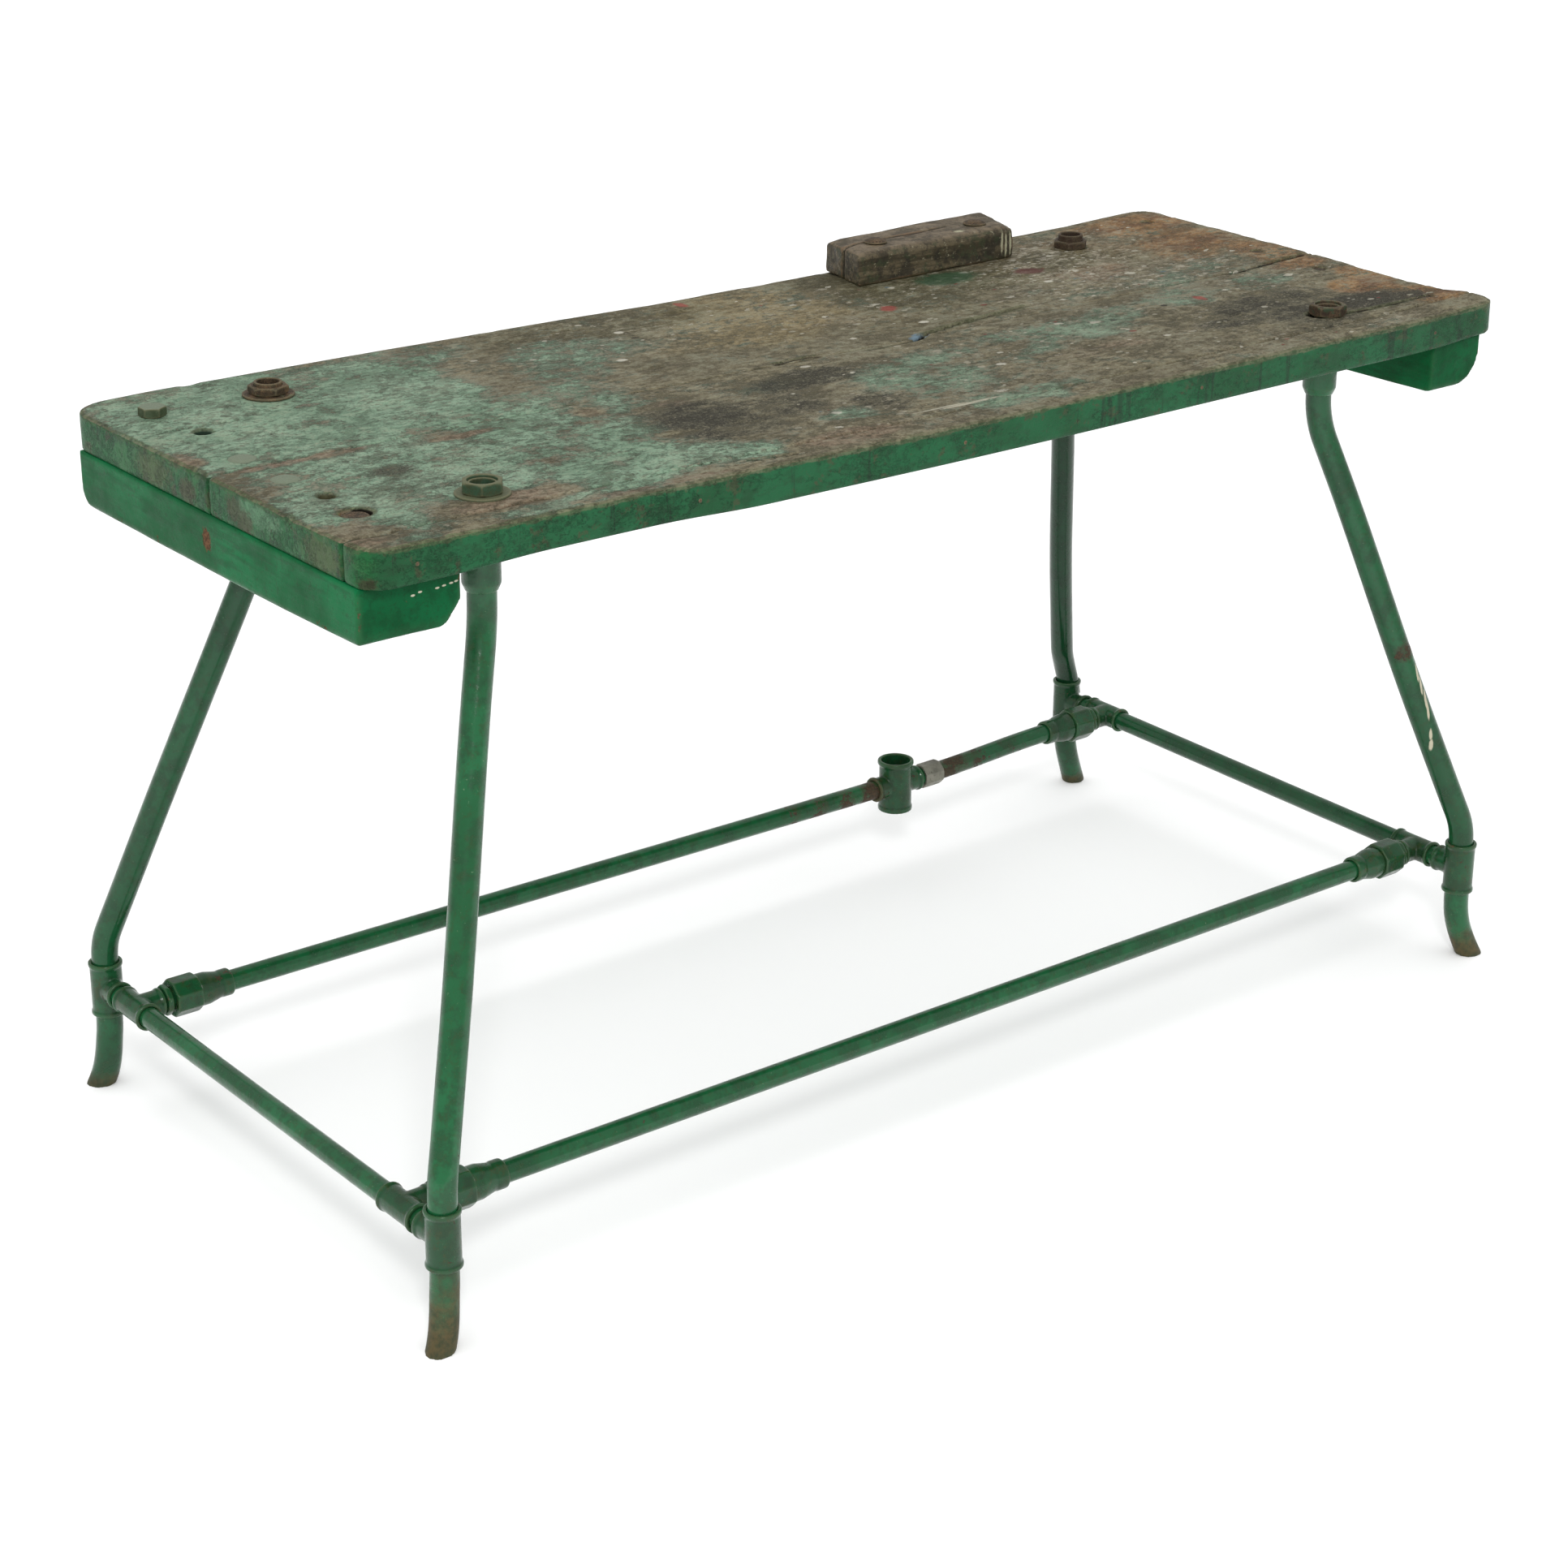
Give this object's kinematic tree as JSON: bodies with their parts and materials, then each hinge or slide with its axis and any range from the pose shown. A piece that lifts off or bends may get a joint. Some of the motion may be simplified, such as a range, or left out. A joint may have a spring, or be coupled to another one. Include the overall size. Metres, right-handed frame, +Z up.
{
  "type": "pipe frame workbench",
  "caption": "Old industrial workbench: a thick planked wooden top with a backstop block, on a splayed frame of screwed gas pipe, tees and unions.",
  "frame": {"origin": "on the floor, under the centre of the whole bench", "axes": "+X along the bench to the right as seen from the working side, +Y towards the back, +Z up"},
  "size_m": [1.7387, 0.8384, 0.9565],
  "materials": {
    "top_paint": "worn green paint over wood, grimy and flaking",
    "cleat_paint": "semi-gloss green paint over wood",
    "backstop_wood": "dark oily worn wood",
    "pipe_paint": "glossy brushed-on green paint",
    "fitting_paint": "glossy green paint over cast fittings",
    "painted_bolts": "worn green paint over steel",
    "rusty_steel": "rusty and grimy",
    "bare_zinc": "dull galvanised"
  },
  "bodies": {
    "bench": {"back_plank": "top_paint", "middle_plank": "top_paint", "front_plank": "top_paint", "front_plank_nails": "rusty_steel", "left_cleat": "cleat_paint", "right_cleat": "cleat_paint", "left_hex_bolt": "painted_bolts", "left_sunk_bolt": "rusty_steel", "left_coach_bolts": "painted_bolts", "right_coach_bolts": "rusty_steel", "cleat_nuts": "rusty_steel", "cleat_washers": "rusty_steel", "backstop_block": "backstop_wood", "backstop_bolts": "rusty_steel", "backstop_nuts": "rusty_steel", "backstop_washers": "rusty_steel", "leg_front_left": "pipe_paint", "leg_back_left": "pipe_paint", "leg_front_right": "pipe_paint", "leg_back_right": "pipe_paint", "leg_socket_front_left": "pipe_paint", "leg_socket_back_left": "pipe_paint", "leg_socket_front_right": "pipe_paint", "leg_socket_back_right": "pipe_paint", "leg_top_nipples": "rusty_steel", "leg_backnuts": "rusty_steel", "leg_washers": "rusty_steel", "leg_tee_front_left": "fitting_paint", "leg_tee_back_left": "fitting_paint", "leg_tee_front_right": "fitting_paint", "leg_tee_back_right": "fitting_paint", "foot_front_left": "pipe_paint", "foot_back_left": "pipe_paint", "foot_front_right": "pipe_paint", "foot_back_right": "pipe_paint", "close_nipples": "pipe_paint", "rail_tee_front_left": "fitting_paint", "rail_tee_back_left": "fitting_paint", "rail_tee_front_right": "fitting_paint", "rail_tee_back_right": "fitting_paint", "left_cross_rail": "pipe_paint", "right_cross_rail": "pipe_paint", "union_tail_front_left": "fitting_paint", "union_tail_back_left": "fitting_paint", "union_tail_front_right": "fitting_paint", "union_tail_back_right": "fitting_paint", "union_body_front_left": "fitting_paint", "union_body_back_left": "fitting_paint", "union_body_front_right": "fitting_paint", "union_body_back_right": "fitting_paint", "front_rail": "pipe_paint", "back_rail_left": "pipe_paint", "back_rail_right": "pipe_paint", "socket_cross": "fitting_paint", "cross_nipple": "pipe_paint", "hex_coupling": "bare_zinc"},
    "nut_front_left": {"union_nut_front_left": "fitting_paint"},
    "nut_back_left": {"union_nut_back_left": "fitting_paint"},
    "nut_front_right": {"union_nut_front_right": "fitting_paint"},
    "nut_back_right": {"union_nut_back_right": "fitting_paint"}
  },
  "joints": [
    {"name": "union_spin_front_left", "type": "hinge", "parent": "bench", "child": "nut_front_left", "pos_m": [-0.76758, -0.313, 0.135], "axis": [1, 0, 0], "continuous": true},
    {"name": "union_spin_back_left", "type": "hinge", "parent": "bench", "child": "nut_back_left", "pos_m": [-0.76758, 0.313, 0.135], "axis": [1, 0, 0], "continuous": true},
    {"name": "union_spin_front_right", "type": "hinge", "parent": "bench", "child": "nut_front_right", "pos_m": [0.75242, -0.313, 0.135], "axis": [1, 0, 0], "continuous": true},
    {"name": "union_spin_back_right", "type": "hinge", "parent": "bench", "child": "nut_back_right", "pos_m": [0.75242, 0.313, 0.135], "axis": [1, 0, 0], "continuous": true}
  ]
}
